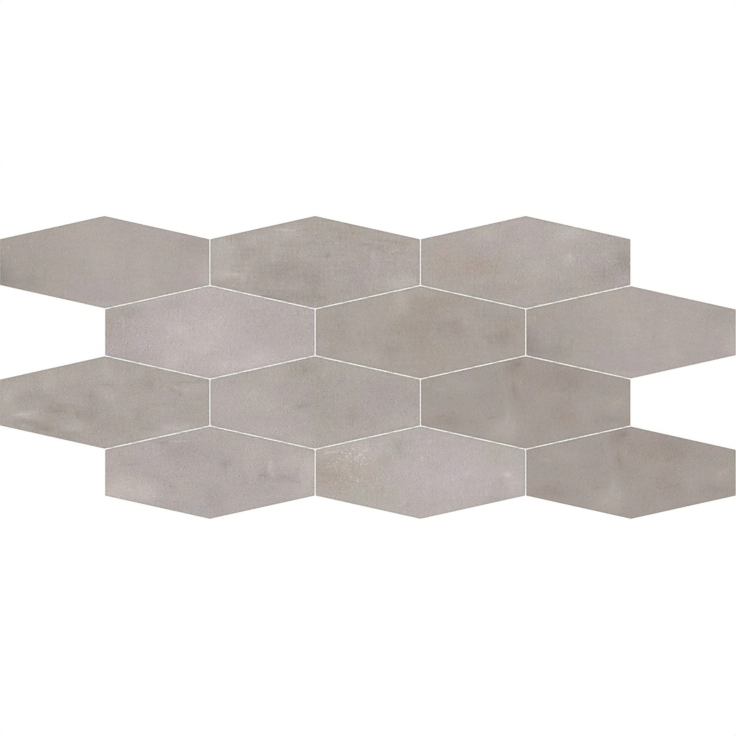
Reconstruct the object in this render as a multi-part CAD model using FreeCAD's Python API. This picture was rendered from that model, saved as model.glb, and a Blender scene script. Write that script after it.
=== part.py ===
import FreeCAD, Part
import math
import os

# A mosaic sheet of elongated hexagonal porcelain tiles, often called diamond tiles.
# Rows of tiles lie side by side, and every second row is shifted by half a tile, so that
# the low roof of one row fits under the eaves of the next with an even open joint.
# Each tile is sawn from a pressed porcelain tile: flat face with a fine ground arris,
# square sawn edges, and a back with the press's shallow square key pockets, which the
# saw cuts run through. A fibreglass mesh under the tiles holds the sheet together, and
# stops short of the outer tile edges so that the next sheet can interlock.
#
# The sheet lies flat with its face up. X runs along the rows, Y across them, Z up, and
# the origin is the centre of the sheet on the surface that it lies on. Row 1 is the one
# at +Y, and it starts at the left, at -X.

# Driving dimensions, in millimetres
tile_pitch = 210.0       # tile centre to tile centre along a row
row_pitch = 70.0         # row centre to row centre
upright_side = 46.7      # short upright side of one cell of the layout, joints included
joint_width = 1.2        # open joint between two tiles, square to their edges
tiles_per_row = 3
row_count = 4

tile_thickness = 8.5
arris_width = 0.4        # 45 degree bevel round the face

pocket_side = 21.0       # square key pocket in the back
rib_width = 5.0          # flat rib between two pockets
pocket_depth = 0.7

mesh_thickness = 0.5     # backing mesh with its glue
mesh_margin = 3.0        # the mesh ends this far inside the outer tile edges

# Worked out from the driving dimensions
apex_rise = row_pitch - upright_side
slope_angle = math.atan2(apex_rise, tile_pitch / 2)
pocket_pitch = pocket_side + rib_width


def hexagon(inset):
    """Face of one cell of the layout, centred on the origin, with each side moved in."""
    half_width = tile_pitch / 2 - inset
    apex = upright_side / 2 + apex_rise - inset / math.cos(slope_angle)
    eave = apex - half_width * math.tan(slope_angle)
    corners = [
        (half_width, -eave),
        (half_width, eave),
        (0, apex),
        (-half_width, eave),
        (-half_width, -eave),
        (0, -apex),
    ]
    points = [FreeCAD.Vector(x, y, 0) for x, y in corners]
    return Part.Face(Part.makePolygon(points + points[:1]))


def cell_centres():
    """(row, column, centre) of each cell, with the whole layout centred on the origin."""
    for row in range(row_count):
        shift = tile_pitch / 4 * (-1 if row % 2 == 0 else 1)
        y = ((row_count - 1) / 2 - row) * row_pitch
        for column in range(tiles_per_row):
            x = (column - (tiles_per_row - 1) / 2) * tile_pitch + shift
            yield row + 1, column + 1, FreeCAD.Vector(x, y, 0)


def tile_blank():
    """The sawn tile on z = 0, with its arris ground but its back still flat."""
    prism = hexagon(joint_width / 2).extrude(FreeCAD.Vector(0, 0, tile_thickness))
    top_face = max(prism.Faces, key=lambda face: face.CenterOfMass.z)
    return prism.makeChamfer(arris_width, top_face.Edges)


def key_pockets():
    """The press's pattern of pockets, over more than a tile, centred on a pocket."""
    reach_x = math.ceil(tile_pitch / 2 / pocket_pitch)
    reach_y = math.ceil((row_pitch + apex_rise) / 2 / pocket_pitch)
    pockets = []
    for i in range(-reach_x, reach_x + 1):
        for j in range(-reach_y, reach_y + 1):
            corner = FreeCAD.Vector(
                i * pocket_pitch - pocket_side / 2,
                j * pocket_pitch - pocket_side / 2,
                0,
            )
            pockets.append(Part.makeBox(pocket_side, pocket_side, pocket_depth, corner))
    return Part.makeCompound(pockets)


def tile():
    """One finished tile, standing on the mesh."""
    keyed = tile_blank().cut(key_pockets())
    return keyed.Solids[0].translated(FreeCAD.Vector(0, 0, mesh_thickness))


def backing_mesh():
    """The mesh as a thin plate: its outline follows the sheet's stepped edge."""
    cells = [hexagon(0).translated(centre) for _, _, centre in cell_centres()]
    layout = cells[0].multiFuse(cells[1:]).removeSplitter()
    outline = layout.Faces[0].makeOffset2D(-(joint_width / 2 + mesh_margin), join=2)
    return outline.Faces[0].extrude(FreeCAD.Vector(0, 0, mesh_thickness))


os.makedirs("parts", exist_ok=True)
one_tile = tile()
for row, column, centre in cell_centres():
    one_tile.translated(centre).exportStep(f"parts/tile_row{row}_col{column}.step")
backing_mesh().exportStep("parts/backing_mesh.step")
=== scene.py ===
import math

import bmesh
import bpy
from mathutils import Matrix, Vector, noise


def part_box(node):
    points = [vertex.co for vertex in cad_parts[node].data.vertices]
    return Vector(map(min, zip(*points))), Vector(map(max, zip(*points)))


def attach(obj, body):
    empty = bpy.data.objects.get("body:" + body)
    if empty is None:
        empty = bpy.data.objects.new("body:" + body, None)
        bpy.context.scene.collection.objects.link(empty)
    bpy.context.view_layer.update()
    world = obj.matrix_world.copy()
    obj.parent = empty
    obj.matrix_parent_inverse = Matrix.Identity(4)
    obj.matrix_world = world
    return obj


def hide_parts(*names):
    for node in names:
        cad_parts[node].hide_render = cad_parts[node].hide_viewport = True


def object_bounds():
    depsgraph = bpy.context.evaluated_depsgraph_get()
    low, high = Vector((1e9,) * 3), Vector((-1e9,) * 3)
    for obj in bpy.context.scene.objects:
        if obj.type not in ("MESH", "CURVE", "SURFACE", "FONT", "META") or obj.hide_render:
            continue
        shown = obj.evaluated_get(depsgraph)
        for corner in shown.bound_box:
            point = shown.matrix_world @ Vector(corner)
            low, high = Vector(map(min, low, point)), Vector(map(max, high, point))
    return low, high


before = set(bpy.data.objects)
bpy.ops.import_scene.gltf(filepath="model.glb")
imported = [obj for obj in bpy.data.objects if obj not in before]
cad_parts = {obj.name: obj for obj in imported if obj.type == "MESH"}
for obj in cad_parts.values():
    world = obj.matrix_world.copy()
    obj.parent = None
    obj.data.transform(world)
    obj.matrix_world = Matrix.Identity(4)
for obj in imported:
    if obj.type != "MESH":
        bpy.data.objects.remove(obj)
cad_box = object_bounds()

# A mosaic sheet of elongated hexagonal porcelain tiles on a fibreglass mesh, seen from above.
# Geometry is in metres, in the frame's own coordinates. The print of each tile is drawn in
# millimetres from that tile's centre, x to the right and y up as the camera sees it.

MM = 0.001
TINY = 1e-6
WHITE = (1, 1, 1, 1)

# Tile, finer than the plain solid: (inset, depth below the face) of each ring round its edge
EDGE_RINGS = [
    (1.30 * MM, 0),
    (0.47 * MM, 0),
    (0.37 * MM, 0.03 * MM),
    (0.03 * MM, 0.37 * MM),
    (0, 0.47 * MM),
    (0, 0.62 * MM),
]
ARRIS_INSET = EDGE_RINGS[1][0]    # the arris, with its soft rounding, starts this far inside
PRINT_DEPTH = EDGE_RINGS[-1][1]   # depth of the sides that the face's material covers
GLAZE_DEPTH = 0.10 * MM       # the print ends here: the ground arris shows the body
GLAZE_FADE = 0.05             # half of the print's soft end, in millimetres
EDGE_STEP = 1.0 * MM          # spacing of the points round a tile
SMOOTH_ANGLE = math.radians(32)
CHIP_SIZE = 2.2 * MM          # length of a small chip along the arris
CHIP_DEPTH = 0.22 * MM
CHIP_THRESHOLD = 0.42         # share of the noise above which the arris is chipped
CHIP_STEEPNESS = 4
CHIP_DROP = 0.5               # how far a chip goes down, against how far it goes in
CHIP_SEED_STEP = (1.7, 0.9, 0)

# Square key pockets that the press leaves in the back
POCKET_SIDE = 21.0 * MM
POCKET_PITCH = 26.0 * MM
POCKET_DEPTH = 0.7 * MM
POCKET_CORNER = 2.0 * MM
POCKET_DRAFT = 0.5            # run of a pocket's wall for each unit of its depth
POCKET_CORNER_STEPS = 5

# Backing mesh: flat wefts along X, held by pairs of warps along Y that cross between them
MESH_PITCH = 5.0 * MM
WEFT_SECTION = (0.55 * MM, 0.16 * MM)
WARP_SECTION = (0.30 * MM, 0.16 * MM)
WARP_SHIFT = 0.20 * MM        # each warp's distance to its pair's centre line at a weft
STRAND_WANDER = 0.18 * MM
STRAND_WANDER_SIZE = 40.0 * MM
WEFT_SEED = 1
WARP_SEED = 2
END_CLEARANCE = 0.1           # no crossing is this near a strand's end, in pitches
SIDE_TILT = 0.5               # faces whose normal rises less than this are sides
FILAMENT_STRETCH = 60

# Dabs of dried glue between the mesh and the crossings of a tile's back ribs
GLUE_COLUMNS = (-2.5, -1.5, -0.5, 0.5, 1.5, 2.5)
GLUE_ROWS = (-0.5, 0.5)
GLUE_RADIUS = 7.0 * MM
GLUE_RADIUS_VARIATION = 2.4 * MM
GLUE_LOBES = 1.3              # scale of the outline's noise: the higher, the more lobes
GLUE_DRIFT = 1.6 * MM
GLUE_EDGE = 0.10 * MM         # thickness that is left at a dab's rim
GLUE_BULGE = 3                # power of the dab's profile: a flat belly with a steep rim
GLUE_SPOKES = 28
GLUE_RINGS = 4
GLUE_DRIFT_SEED = (1.3, 0.5)  # step of the seed from dab to dab, and the noise's other axis
GLUE_OUTLINE_SEED = 3.1

# Light: an even sky with a wide softbox straight overhead, just under one unit together,
# because a matt surface adds a little gloss to its own colour
SKY_SHARE = 0.27
SOFTBOX_SHARE = 0.63
SOFTBOX_ANGLE = math.radians(4)

# Floor
FLOOR_SIZE = 60.0
FLOOR_REFLECTANCE = 0.8
FLOOR_SHADOW_SHARE = 0.18     # how much of the shading on the white floor the camera sees
JOINT_PAINTED_BOUNCE = (1, 0.945, 0.885, 1)   # painted warm bounce light and shade on the floor in a joint, as if it came off the tiles' sides
JOINT_REACH = 12.0 * MM       # how far the floor looks for sides that shut it in
JOINT_OPENNESS = (0.12, 0.35)           # shut in as a joint is, and open
JOINT_SAMPLES = 4

# Camera: the photo looks straight down, with no perspective that shows
PHOTO_PIXELS = 736
TILE_PITCH_PIXELS = 210.6     # tile pitch along a row in the photo
CENTRE_ABOVE_MIDDLE = 0.6     # pixels by which the sheet's centre is above the photo's
CENTRE_LEFT_OF_MIDDLE = 0.2
CAMERA_LENS = 1000.0
CAMERA_SENSOR = 36.0

# Noise: the turn of every lattice, so that a tile's flat face cuts it aslant and no seed's
# cut is weaker than another's, and how far on in the lattice the next seed looks
LATTICE_TURN = (0.5, 0.7, 0.6)
SEED_STEP = (7.31, 3.77, 5.19)
WOBBLE_DETAIL = 3.0

# The prints. A tone is what it adds to red, green and blue at full strength, as shares.
PALE = (0.170, 0.178, 0.183)
DARK = (-0.170, -0.178, -0.183)
MAUVE = (0.010, -0.015, 0.055)
MOSS = (-0.030, -0.010, -0.050)
BROWN = (-0.035, -0.050, -0.095)
RUST = (0.020, -0.025, -0.045)
SLATE = (-0.170, -0.165, -0.150)
FROST = (0.110, 0.140, 0.140)
STRAW = (0.120, 0.125, 0.075)
TEAL = (-0.050, -0.015, 0.000)

# Layers of noise in a print: size in mm, stretch, octaves after the first, and how much of
# each octave the next has
NOISE_LAYERS = {
    "clouds": (18, (1, 1, 1), 2, 0.5),
    "blotches": (7, (1, 1, 1), 2, 0.6),
    "across": (3, (7, 1, 1), 2, 0.55),
    "upright": (3, (1, 6, 1), 3, 0.65),
    "grain": (0.8, (0.5, 1.1, 1), 1, 0.5),
}
MOTTLE_CONTRAST = {"clouds": 0.12, "blotches": 0.16, "across": 0.20, "upright": 0.20}
GRAIN_CONTRAST = 0.95
GRAIN_UNEVENNESS = 2.2        # how much the grain's contrast follows the blotches
GRAIN_STEP = 1.0              # the grain is set off against what is this far beside it,
GRAIN_SHARPNESS = 0.2         # which makes it a little crisper across than upright
ARRIS_BODY_AND_PAINTED_LIGHT = 1.5             # the ground arris shows the body, this much brighter than the print: partly the paler body, partly painted light that undoes the shade of its slope
ARRIS_GRAIN = 0.4             # how much of the grain shows there
PRINT_SEED_STEP = 11

# Wobbles that give what is drawn its uneven edges: (size, amount) in mm, and their own seed
PATCH_WOBBLES = [(22, 14, 0), (6, 4, 40)]
MARK_WOBBLE = (4, 2.2, 80)
SPOT_REACH = 1.6              # a spot has faded out at this many half widths

# Faint drifts of colour: (size in mm, what it adds to red, green and blue, as shares)
TINTS = [
    (14, (0.010, -0.010, 0.050)),
    (9, (0.040, -0.065, 0.220)),
    (8, (0.130, -0.057, -0.040)),
]
TINT_ROUGHNESS = 0.8

# Painted shade: the print is made darker along the tile's sides, as a line of shade beside each
# joint
PAINTED_RIM_SHADE = (-0.17, -0.115, -0.12)
RIM_WIDTH = 1.1               # full strength to here, in millimetres from the side
RIM_END = 1.7

# Small flecks
FLECK_SIZE = 1.7
FLECK_THRESHOLD = (0.06, 0.16)
FLECK_SEED = 9

# Body, strands and glue: colours at the low and the high end of their noise
BODY_COLOURS = ((0.36, 0.325, 0.29, 1), (0.52, 0.475, 0.43, 1))
STRAND_COLOURS = ((0.80, 0.79, 0.75, 1), (0.96, 0.955, 0.93, 1))
GLUE_COLOURS = ((0.80, 0.77, 0.68, 1), (0.90, 0.89, 0.85, 1))

# Kiln dust on the ribs of the back: each pair is where it starts, and where it is full
DUST_COLOUR = (0.74, 0.71, 0.66, 1)
DUST_SHARE = 0.75
DUST_NORMAL = (-0.6, -0.95)
DUST_HEIGHT = (0.35, 0.05)    # millimetres above the lowest part of the back
DUST_PATCHES = (-0.12, 0.12)

# Each print has its own base colour, grain, mottle and depth, which scales its patches
PRINTS = {
    "calm_slate": {"base": (0.432, 0.381, 0.351), "grain": 1.3, "mottle": 0.6, "depth": 1.1},
    "worn_pale_end": {"base": (0.420, 0.370, 0.341), "grain": 1.75, "mottle": 1.2, "depth": 1.15},
    "ruddy_patch": {"base": (0.438, 0.388, 0.359), "grain": 1.75, "mottle": 0.7, "depth": 1.15},
    "pale_mauve": {"base": (0.496, 0.435, 0.427), "grain": 1.85, "mottle": 0.5, "depth": 1.1},
    "brown_cloud": {"base": (0.401, 0.350, 0.318), "grain": 1.6, "mottle": 0.7, "depth": 1.1},
    "worn_dark_band": {"base": (0.418, 0.370, 0.339), "grain": 1.6, "mottle": 0.7, "depth": 1.2},
    "green_middle": {"base": (0.433, 0.384, 0.357), "grain": 1.95, "mottle": 0.25, "depth": 0.95},
    "ruddy_middle": {"base": (0.370, 0.323, 0.294), "grain": 1.4, "mottle": 0.3, "depth": 1.15},
    "worn_mauve": {"base": (0.456, 0.401, 0.385), "grain": 1.7, "mottle": 0.5, "depth": 1.1},
    "ochre_end": {"base": (0.483, 0.427, 0.406), "grain": 1.55, "mottle": 0.65, "depth": 1.15},
}

# Patches are soft and marks are fine, and both were placed one by one. Flecks are patches that
# only show on small flecks.
# patches and flecks (tone, x, y, half width, half height, strength)
# marks (tone, x, y, half length, half width, turn in degrees, strength)
PRINTS["calm_slate"]["patches"] = [
    (DARK, -104, -12, 15, 20, 1.2),
    (DARK, -80, -20, 18, 8, 0.6),
    (DARK, -78, -4, 50, 50, 0.45),
    (MOSS, -52, -6, 20, 16, 0.5),
    (BROWN, -92, 15, 16, 7, 0.6),
    (STRAW, -25, 28, 18, 12, 0.35),
    (SLATE, 90, 16, 16, 12, 0.5),
    (MAUVE, -6, -28, 38, 12, 1),
    (FROST, -6, -42, 34, 4, 0.6),
    (PALE, 0, 4, 16, 22, 0.25),
    (RUST, 22, 25, 10, 9, 0.5),
    (MAUVE, 28, 27, 8, 8, 0.4),
    (MOSS, 14, 12, 12, 6, 0.4),
    (PALE, 38, -2, 8, 13, 0.35),
    (FROST, 40, -26, 9, 10, 0.4),
    (MAUVE, 30, -8, 24, 12, 0.4),
    (MAUVE, 82, -14, 16, 12, 0.7),
    (MOSS, 65, -16, 7, 7, 0.4),
    (FROST, 102, -15, 7, 12, 1),
    (MOSS, -86, 22, 22, 6, 0.6),
]
PRINTS["calm_slate"]["marks"] = [
    (PALE, -96, 15, 1.3, 1.1, 0, 1.2),
    (PALE, -39, -30, 3.4, 0.5, 97, 1),
    (STRAW, -60, -4, 3, 0.9, -20, 0.7),
    (PALE, 37, 31, 4.5, 0.7, 80, 0.5),
    (DARK, -59, -9, 4, 2, 70, 0.4),
    (DARK, -20, 1, 0.9, 5, 0, 0.3),
    (FROST, 26, 24, 6, 1, 3, 0.5),
]

PRINTS["worn_pale_end"]["patches"] = [
    (FROST, -95, 10, 16, 20, 1.1),
    (FROST, -84, 19, 8, 5, 0.7),
    (PALE, -86, -12, 22, 6, 0.9),
    (PALE, -66, -2, 8, 9, 0.6),
    (BROWN, -68, 9, 11, 7, 0.6),
    (MAUVE, -74, 16, 6, 6, 0.4),
    (FROST, -58, 20, 14, 7, 0.5),
    (PALE, -34, 28, 26, 8, 0.7),
    (FROST, -42, 12, 5, 12, 0.6),
    (DARK, -34, -10, 28, 12, 0.7),
    (DARK, -34, -34, 28, 7, 0.9),
    (DARK, 0, -18, 14, 16, 0.6),
    (DARK, 2, -38, 18, 9, 0.5),
    (MOSS, 4, -36, 18, 9, 0.4),
    (DARK, 26, -30, 12, 7, 0.3),
    (MAUVE, 50, -6, 14, 20, 0.7),
    (PALE, 60, -3, 5, 14, 0.4),
    (FROST, 84, -21, 20, 9, 1.2),
    (BROWN, 36, 27, 9, 11, 0.7),
    (RUST, 34, 31, 6, 6, 0.5),
    (MOSS, 8, 36, 22, 7, 0.6),
    (BROWN, 82, 20, 20, 4, 0.8),
    (MAUVE, 97, 4, 10, 18, 0.5),
    (PALE, 97, 13, 8, 8, 0.4),
    (MOSS, 84, 2, 10, 6, 0.5),
]
PRINTS["worn_pale_end"]["marks"] = [
    (PALE, -31, 32, 10, 0.7, 1, 1.9),
    (PALE, -17, 33.3, 4, 0.5, 4, 1.2),
    (FROST, -82, -12, 9, 1.5, 0, 0.9),
    (PALE, -79, -6, 6, 1.2, -12, 0.5),
    (PALE, -81.5, -22.5, 2.4, 0.6, 55, 1.3),
    (DARK, -58, -27, 6, 2.6, -12, 0.8),
    (DARK, 13, 7, 3.2, 3.4, 0, 0.9),
    (DARK, 15, 20.5, 9, 0.8, 0, 0.8),
    (DARK, 46, 18, 13, 0.9, -4, 0.6),
    (DARK, 0, 26.5, 3.5, 0.9, 0, 0.8),
    (DARK, -3, 19, 8, 0.8, -3, 0.6),
    (DARK, 24, 25, 1.8, 3.2, 0, 0.6),
    (DARK, -25, 19, 1.2, 3, 0, 0.7),
    (DARK, -16, -1, 13, 0.7, 0, 0.5),
    (DARK, -34, -16, 11, 0.8, 2, 0.4),
    (FROST, 58, 7, 5.5, 1.1, -70, 1),
    (FROST, 63, -2, 5, 1.1, -80, 0.9),
    (FROST, 60, -11, 4, 1, 75, 0.6),
    (DARK, 67, 12, 5, 1.4, -35, 0.7),
    (DARK, 77, 8, 3.5, 1.2, -40, 0.6),
    (PALE, 80, 12, 5, 1.3, 30, 0.5),
    (DARK, 78, 20, 14, 0.8, -3, 0.5),
]

PRINTS["ruddy_patch"]["patches"] = [
    (BROWN, -70, -7, 44, 20, 0.8),
    (RUST, -52, -3, 12, 9, 1),
    (DARK, -50, -4, 12, 9, 0.3),
    (RUST, -84, 8, 14, 12, 0.7),
    (BROWN, -36, -8, 10, 10, 0.8),
    (MAUVE, -42, 22, 14, 8, 0.7),
    (PALE, -40, 25, 14, 7, 0.35),
    (STRAW, -36, 32, 18, 8, 0.5),
    (FROST, 45, 29, 22, 11, 1.2),
    (MAUVE, 4, 22, 28, 14, 0.7),
    (PALE, 18, 14, 36, 16, 0.3),
    (FROST, 43, 3, 8, 8, 0.9),
    (PALE, 14, -8, 16, 9, 0.35),
    (MAUVE, 66, 2, 15, 9, 0.9),
    (DARK, 99, 0, 14, 12, 1),
    (DARK, 78, -16, 18, 14, 0.6),
    (MAUVE, 94, -15, 8, 7, 0.8),
    (SLATE, 34, -27, 18, 12, 0.4),
    (TEAL, 34, -30, 12, 8, 0.3),
    (PALE, 0, 38, 24, 8, 0.4),
    (RUST, -18, -26, 30, 8, 0.7),
    (DARK, -34, -28, 30, 9, 0.4),
    (MOSS, 56, -28, 12, 5, 0.7),
    (TEAL, -98, 12, 8, 10, 0.6),
    (DARK, 94, 20, 16, 8, 0.3),
]
PRINTS["ruddy_patch"]["marks"] = [
    (RUST, -56, -1, 4.5, 2.2, 25, 0.9),
    (DARK, -20, 28, 3.6, 0.5, -60, 0.7),
    (PALE, 44, 6, 4, 1.2, 75, 0.7),
    (DARK, 36, 20, 6, 1, 85, 0.4),
    (PALE, -40, 30, 6, 1, 10, 0.5),
    (DARK, 20, -22, 8, 0.7, 40, 0.4),
    (DARK, 78, -12, 8, 1, 88, 0.5),
    (PALE, 90, 1, 8, 0.9, 0, 0.5),
    (DARK, -31, -9, 6, 1, 85, 0.5),
]

PRINTS["pale_mauve"]["patches"] = [
    (DARK, -98, 0, 16, 28, 0.6),
    (DARK, -76, 2, 16, 16, 0.3),
    (BROWN, -100, 8, 10, 16, 1),
    (DARK, -76, -24, 24, 9, 0.6),
    (MOSS, -84, 22, 16, 7, 1.4),
    (DARK, -78, 22, 22, 8, 0.7),
    (DARK, -34, 28, 15, 9, 0.4),
    (TEAL, -38, 33, 12, 5, 0.7),
    (PALE, -6, 0, 38, 24, 0.5),
    (STRAW, -36, 2, 14, 6, 0.4),
    (STRAW, 5, 10, 8, 12, 0.3),
    (STRAW, -8, -16, 14, 7, 0.4),
    (STRAW, 11, -34, 6, 7, 0.4),
    (PALE, 34, -32, 38, 9, 0.6),
    (PALE, 50, -22, 14, 7, 0.45),
    (PALE, -38, -28, 10, 14, 0.45),
    (DARK, 64, 9, 40, 24, 0.35),
    (DARK, 96, -2, 10, 14, 0.2),
    (MOSS, 88, 19, 14, 4, 1),
    (TEAL, 103, 5, 3, 16, 0.9),
    (PALE, 0, 38, 14, 8, 0.2),
    (MOSS, 14, 38, 8, 5, 0.5),
]
PRINTS["pale_mauve"]["marks"] = [
    (PALE, -41, -4, 5, 1.2, 50, 0.5),
    (PALE, -23, -5, 4, 0.9, 60, 0.4),
    (STRAW, -28, 3, 7, 2.6, 35, 0.5),
    (STRAW, -2, -14, 8, 2.4, 60, 0.5),
    (STRAW, 5, 9, 10, 2.2, 50, 0.4),
    (PALE, -86, 12, 8, 0.9, 85, 0.4),
    (PALE, 12, 37, 6, 1.2, 85, 0.4),
    (DARK, -16, -6, 4, 1.6, 10, 0.3),
]

PRINTS["brown_cloud"]["patches"] = [
    (MOSS, -84, 12, 10, 24, 0.6),
    (DARK, -82, 6, 9, 14, 0.25),
    (TEAL, -76, 22, 14, 10, 0.6),
    (RUST, -78, 6, 8, 7, 0.5),
    (MAUVE, -98, -6, 8, 14, 0.5),
    (FROST, -48, 20, 28, 18, 0.25),
    (PALE, -19, 33, 10, 11, 0.8),
    (STRAW, -26, 18, 8, 9, 0.6),
    (FROST, 0, 42, 12, 5, 0.6),
    (BROWN, 2, 0, 44, 28, 0.75),
    (BROWN, 22, 32, 26, 10, 1.1),
    (BROWN, 6, 25, 10, 8, 0.6),
    (DARK, 4, 8, 30, 14, 0.4),
    (RUST, -7, 5, 8, 6, 0.6),
    (STRAW, 26, 16, 8, 6, 0.3),
    (DARK, 36, 4, 9, 7, 0.3),
    (DARK, 38, -6, 11, 8, 0.4),
    (DARK, 64, 8, 9, 9, 0.25),
    (MAUVE, 46, 18, 10, 10, 0.2),
    (STRAW, 44, 17, 9, 8, 0.3),
    (TEAL, 66, 19, 13, 10, 0.9),
    (DARK, 80, -5, 12, 10, 0.8),
    (RUST, 82, 2, 12, 10, 0.4),
    (DARK, 86, 14, 14, 8, 0.3),
    (BROWN, 94, 2, 14, 14, 0.8),
    (TEAL, 65, -6, 7, 8, 0.6),
    (MOSS, 22, -17, 10, 7, 0.6),
    (MAUVE, 20, -8, 8, 6, 0.5),
    (BROWN, 0, -18, 14, 9, 0.5),
    (RUST, 6, -28, 12, 9, 0.9),
    (DARK, -29, -18, 9, 8, 0.45),
    (MAUVE, -50, -8, 18, 10, 0.2),
    (FROST, -55, -26, 20, 8, 0.5),
    (FROST, -98, -12, 8, 8, 0.3),
]
PRINTS["brown_cloud"]["marks"] = [
    (RUST, -9, 5, 3, 2.4, 0, 1),
    (PALE, 46, 9, 4.5, 2.4, -20, 0.7),
    (DARK, 35, 10, 5, 2.2, 20, 0.3),
    (DARK, 18, 3, 2, 3, 20, 0.5),
    (DARK, -24, 0, 7, 1.6, -25, 0.5),
    (PALE, -38, 34, 9, 0.8, 18, 0.6),
    (PALE, 14, -10, 3.6, 1, -40, 0.5),
    (DARK, 70, -10, 2.4, 4, 0, 0.4),
    (RUST, 9, 30, 12, 0.9, 10, 0.8),
    (DARK, 32, 29, 9, 1, 3, 0.5),
    (PALE, -58, -18, 8, 1.2, 30, 0.3),
    (PALE, 67, 1, 3, 1.2, 60, 0.5),
    (STRAW, -65, -5, 3, 1.6, 20, 0.5),
]

PRINTS["worn_dark_band"]["patches"] = [
    (PALE, -98, 8, 10, 14, 0.6),
    (PALE, -84, 16, 9, 6, 0.4),
    (PALE, -80, -11, 14, 4, 0.75),
    (FROST, -56, 21, 8, 8, 0.8),
    (STRAW, -36, 24, 14, 7, 0.4),
    (DARK, -68, 6, 18, 8, 0.5),
    (DARK, -48, -7, 16, 8, 0.75),
    (RUST, -38, -6, 14, 6, 0.6),
    (DARK, -20, -10, 12, 8, 0.7),
    (DARK, -14, 5, 8, 7, 0.5),
    (RUST, -13, 7, 7, 6, 0.5),
    (BROWN, -60, -26, 12, 7, 1),
    (DARK, -60, -24, 14, 8, 0.6),
    (DARK, -78, -21, 11, 4, 0.7),
    (SLATE, -38, -34, 12, 5, 0.7),
    (PALE, -28, -25, 10, 6, 0.4),
    (DARK, -6, -14, 10, 16, 0.4),
    (PALE, 0, 32, 8, 11, 0.6),
    (PALE, 3, 8, 10, 8, 0.5),
    (FROST, -12, 24, 6, 6, 0.5),
    (DARK, 30, 20, 8, 12, 0.2),
    (BROWN, 44, 20, 7, 10, 0.9),
    (DARK, 44, 18, 8, 10, 0.3),
    (DARK, 36, -16, 7, 14, 0.5),
    (DARK, 12, -24, 18, 10, 0.3),
    (MAUVE, 57, 7, 10, 6, 0.9),
    (MOSS, 60, -6, 9, 7, 0.6),
    (PALE, 60, -8, 10, 8, 0.3),
    (MAUVE, 65, -19, 8, 9, 1.3),
    (PALE, 64, -27, 12, 7, 0.8),
    (FROST, 80, -25, 14, 6, 0.8),
    (FROST, 52, -34, 16, 5, 0.8),
    (TEAL, 86, -7, 10, 8, 0.7),
    (MOSS, 84, -10, 11, 9, 0.5),
    (PALE, 92, 14, 14, 6, 0.5),
]
PRINTS["worn_dark_band"]["marks"] = [
    (FROST, -83, -12, 8, 1.3, 0, 1.6),
    (PALE, -76, -15, 9, 0.7, 0, 0.9),
    (PALE, -81, -22.5, 2.4, 0.6, 55, 1.9),
    (DARK, -58, -27, 6, 2.8, -12, 0.6),
    (DARK, -50, -9, 14, 1, 0, 0.5),
    (SLATE, -36, -16, 7, 0.8, 0, 0.7),
    (DARK, -35, -3, 12, 0.7, 0, 0.6),
    (DARK, -27, -13, 2, 5, 0, 0.5),
    (DARK, -2, 27, 3.6, 1, 0, 0.9),
    (DARK, 3, 18, 9, 0.8, -4, 0.8),
    (DARK, -6, 22, 1.6, 3.2, 30, 0.5),
    (DARK, -25, 18, 1.2, 2.6, 0, 0.7),
    (DARK, -14, 8, 4, 1.2, 70, 0.5),
    (PALE, 17, 22, 1.8, 9, 0, 0.5),
    (PALE, 8, 4, 1.8, 6, 0, 0.5),
    (DARK, 59, 17, 4.5, 0.8, 15, 0.8),
    (DARK, 66, 13, 4.5, 1, -30, 1),
    (PALE, 62, 18, 2.6, 0.9, 30, 0.8),
    (PALE, 72, 15, 4, 1.2, -25, 0.8),
    (PALE, 81, 12, 4, 1.6, 20, 0.8),
    (DARK, 76, 8, 2.2, 1.5, -30, 1.2),
    (DARK, 86, 20, 15, 0.8, -2, 0.9),
    (DARK, 74, 19, 3, 1.2, 40, 0.7),
    (DARK, 93, 3, 9, 0.9, -6, 0.6),
    (PALE, 62, 31, 5, 0.8, -14, 0.8),
    (SLATE, 70, 0, 2.2, 2.4, 0, 0.7),
]

PRINTS["green_middle"]["patches"] = [
    (MAUVE, -97, 0, 22, 24, 1),
    (PALE, -92, 0, 26, 24, 0.5),
    (MAUVE, -36, 8, 8, 16, 0.6),
    (MAUVE, 95, 4, 10, 16, 0.6),
    (MAUVE, -48, -26, 36, 12, 0.9),
    (PALE, -46, -28, 34, 10, 0.6),
    (PALE, -56, -2, 28, 18, 0.35),
    (FROST, -63, 6, 11, 9, 0.4),
    (MOSS, -65, 8, 8, 9, 0.9),
    (STRAW, -46, -2, 9, 8, 0.5),
    (PALE, -44, 28, 14, 10, 0.3),
    (MOSS, -10, 34, 24, 12, 1.1),
    (DARK, -10, 36, 18, 9, 0.6),
    (DARK, 0, 16, 26, 18, 0.4),
    (MAUVE, -14, 14, 8, 8, 0.6),
    (MOSS, 6, 20, 10, 8, 0.5),
    (SLATE, -12, -3, 10, 6, 0.5),
    (MOSS, 4, -8, 14, 14, 1),
    (DARK, 14, -8, 24, 18, 0.4),
    (MAUVE, -12, -14, 10, 7, 0.5),
    (BROWN, 38, -11, 10, 7, 0.9),
    (DARK, 38, -12, 10, 7, 0.4),
    (TEAL, 31, 27, 12, 8, 0.9),
    (MOSS, 38, 12, 10, 12, 0.7),
    (MAUVE, 62, 8, 18, 16, 0.7),
    (DARK, 66, 10, 30, 18, 0.4),
    (TEAL, 73, -8, 8, 7, 1),
    (DARK, 97, 4, 10, 10, 0.3),
    (PALE, 88, -19, 18, 7, 0.4),
    (DARK, 58, -18, 8, 8, 0.3),
    (MOSS, 22, -26, 20, 8, 0.4),
    (FROST, -14, -39, 16, 6, 0.9),
    (TEAL, 5, -38, 8, 6, 0.7),
]
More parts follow.
